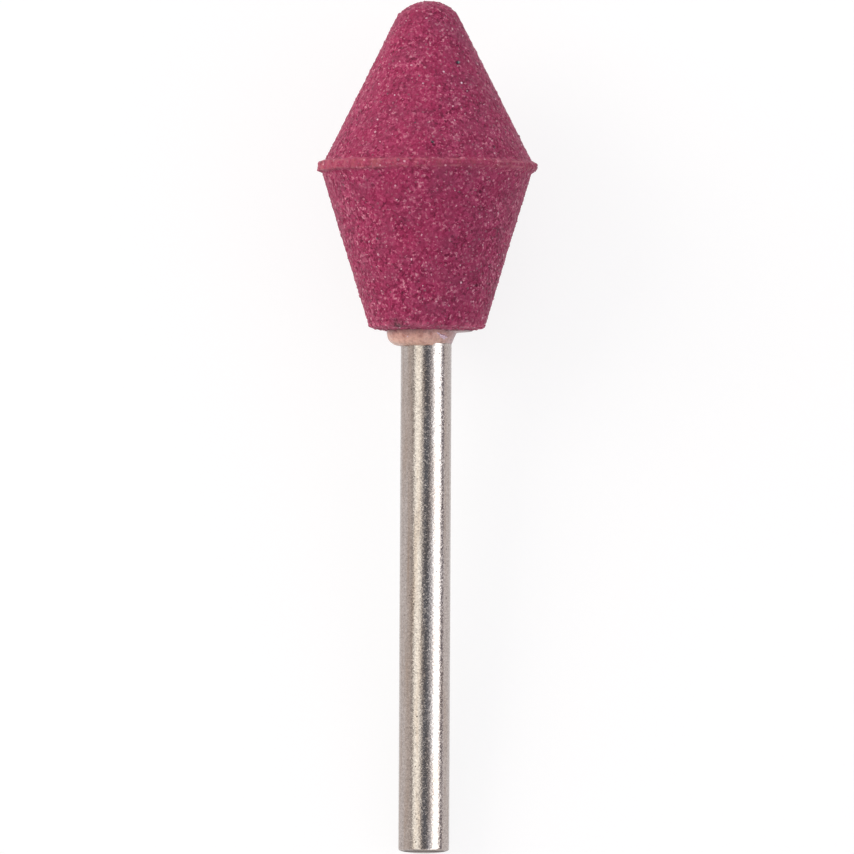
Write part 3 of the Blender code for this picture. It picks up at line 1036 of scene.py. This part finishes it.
rod_rows = [[Vector((0, 0, SHANK_TIP))]]
rod_rows.append(round_row(SHANK_RADIUS - TIP_BEVEL, SHANK_TIP, ROD_STEP)[1])
rod_rows.append(round_row(SHANK_RADIUS, SHANK_TIP - TIP_BEVEL, ROD_STEP)[1])
knurl_points = KNURL_FINE * KNURL_AROUND
knurl_rows = round((KNURL_HIGH - KNURL_LOW) / (KNURL_PITCH / KNURL_FINE))
for step in range(knurl_rows + 1):
    height = KNURL_HIGH - step * KNURL_PITCH / KNURL_FINE
    up = (KNURL_HIGH - height) / KNURL_PITCH
    row = []
    for column in range(knurl_points):
        angle = math.tau * column / knurl_points
        radius = SHANK_RADIUS
        if 0 < step < knurl_rows:
            radius -= groove_depth(column / knurl_points * KNURL_AROUND, up)
        row.append(Vector((radius * math.cos(angle), radius * math.sin(angle), height)))
    rod_rows.append(row)
for step in range(1, PLAIN_ROWS + 1):
    height = KNURL_LOW + (END_OUTLINE[0][1] * MM - KNURL_LOW) * step / PLAIN_ROWS
    rod_rows.append(round_row(SHANK_RADIUS, height, ROD_STEP)[1])
cut_edge = [0.0] * sum(len(row) for row in rod_rows)
for radius, height, dull_and_shaded in END_OUTLINE[1:]:
    rod_rows.append(round_row(radius * MM, height * MM, ROD_STEP)[1])
    cut_edge.extend([dull_and_shaded] * len(rod_rows[-1]))
points, faces = zip_rows(rod_rows)
print(f"The shank has {len(faces)} triangles")

# %% [markdown]
# ## Ground steel
#
# Grinding leaves fine scratches round the rod, so the edges of its reflections are ragged. A noise that is
# drawn out round the rod and short along it makes them. Between them lie facets the size of a hair, some of
# them matt, and those speckle the dark part of the reflection. Faint streaks of brown tarnish run along the
# rod, and a few pits break up the shine. The cut edge of the free end is dull, and painted nearly black as
# painted shade.

# %% Shades and pits of the steel
STEEL_TONES = [(0.30, (0.37, 0.320, 0.298)), (0.50, (0.465, 0.405, 0.380)), (0.72, (0.555, 0.495, 0.465))]
STREAK_SHADE = (0.375, 0.290, 0.240)
PIT_SHADE = (0.16, 0.13, 0.12)
CUT_EDGE_PAINTED_SHADE = (0.050, 0.042, 0.038)
PITS = [  # height in mm, angle in degrees to the right of the side that faces the camera, size in mm
    (15.20, -37.5, 0.060), (14.85, -29.5, 0.060), (14.68, -26.0, 0.075), (14.03, -52.0, 0.055),
    (25.28, 65.0, 0.080), (16.6, 26.5, 0.060), (8.3, 12.0, 0.070), (5.1, -20.0, 0.055),
]

# %% Material of the steel
ground_steel, tree, shader = start_material("ground_steel")
place = add(tree, "ShaderNodeTexCoord").outputs["Object"]
level = add(tree, "ShaderNodeMapping", Vector=place, Rotation=(-SLOPE, 0, 0)).outputs[0]


def drawn_out(across, along):
    """Coordinates in which a pattern of size 1 gets these sizes in mm, across the rod and along it."""
    across, along = 1 / (across * MM), 1 / (along * MM)
    return add(tree, "ShaderNodeMapping", Vector=level, Scale=(across, along, across)).outputs[0]


round_rod = drawn_out(0.14, 0.085)
bump(tree, shader, clouds(tree, round_rod, 1.0, 2.0, 0.55), 1.0, 0.016 * MM)

pits = add(tree, "ShaderNodeTexVoronoi", Vector=place, Scale=1 / (0.42 * MM))
pit_chance = add(tree, "ShaderNodeSeparateColor", Color=pits.outputs["Color"]).outputs["Red"]
pit = calc(tree, "SUBTRACT", remap(tree, pit_chance, 0.55, 1.0, 0.0, 0.17), pits.outputs["Distance"])
pit = remap(tree, pit, 0.0, 0.05)
for height, degrees, size in PITS:
    seat = round_place(SHANK_RADIUS, degrees, height * MM)
    away = vector_calc(tree, "DISTANCE", place, LAID @ seat)
    pit = calc(tree, "MAXIMUM", pit, remap(tree, away, size * MM, 0.5 * size * MM))

tarnish = clouds(tree, round_rod, 1.25, 4.0, 0.65)
streaks = clouds(tree, drawn_out(0.35, 6), 1.0, 3.0, 0.6)
facets = cell_chances(tree, drawn_out(0.10, 0.075), 1.0)
tone = ramp(tree, tarnish, STEEL_TONES)
tone = mixed(tree, remap(tree, streaks, 0.44, 0.66, 0.0, 0.60), tone, STREAK_SHADE)
tone = mixed(tree, 1.0, tone, remap(tree, facets["Green"], 0.0, 1.0, 0.80, 1.06), "MULTIPLY")
tone = mixed(tree, pit, tone, PIT_SHADE)
# painted shade: the free end's rounded edge is darkened towards black
tone = mixed(tree, point_number(tree, "cut_edge", 0.85), tone, CUT_EDGE_PAINTED_SHADE)
tree.links.new(tone, shader.inputs["Base Color"])

dull_and_shaded = point_number(tree, "cut_edge")
tree.links.new(calc(tree, "MULTIPLY_ADD", dull_and_shaded, -0.9, 1.0), shader.inputs["Metallic"])
rough = remap(tree, tarnish, 0.3, 0.7, 0.13, 0.08)
rough = calc(tree, "ADD", rough, remap(tree, facets["Red"], 0.58, 1.0, 0.0, 0.32))
rough = calc(tree, "MULTIPLY_ADD", dull_and_shaded, 0.75, rough)
rough = calc(tree, "MULTIPLY_ADD", pit, 0.3, rough)
tree.links.new(rough, shader.inputs["Roughness"])
shank = laid_piece("ground_shank", points, faces, ground_steel, cut_edge=cut_edge)
print("ground_steel has", len(tree.nodes), "nodes")

# %% [markdown]
# ## Hand the pieces over
#
# Every piece rides on the one body, and the imported part that it takes the place of is hidden.

for piece in (stone, *loose):
    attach(piece, "root")
    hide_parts("abrasive_stone")
for piece in (cement, strays):
    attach(piece, "root")
    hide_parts("cement")
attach(shank, "root")
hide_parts("steel_shank")
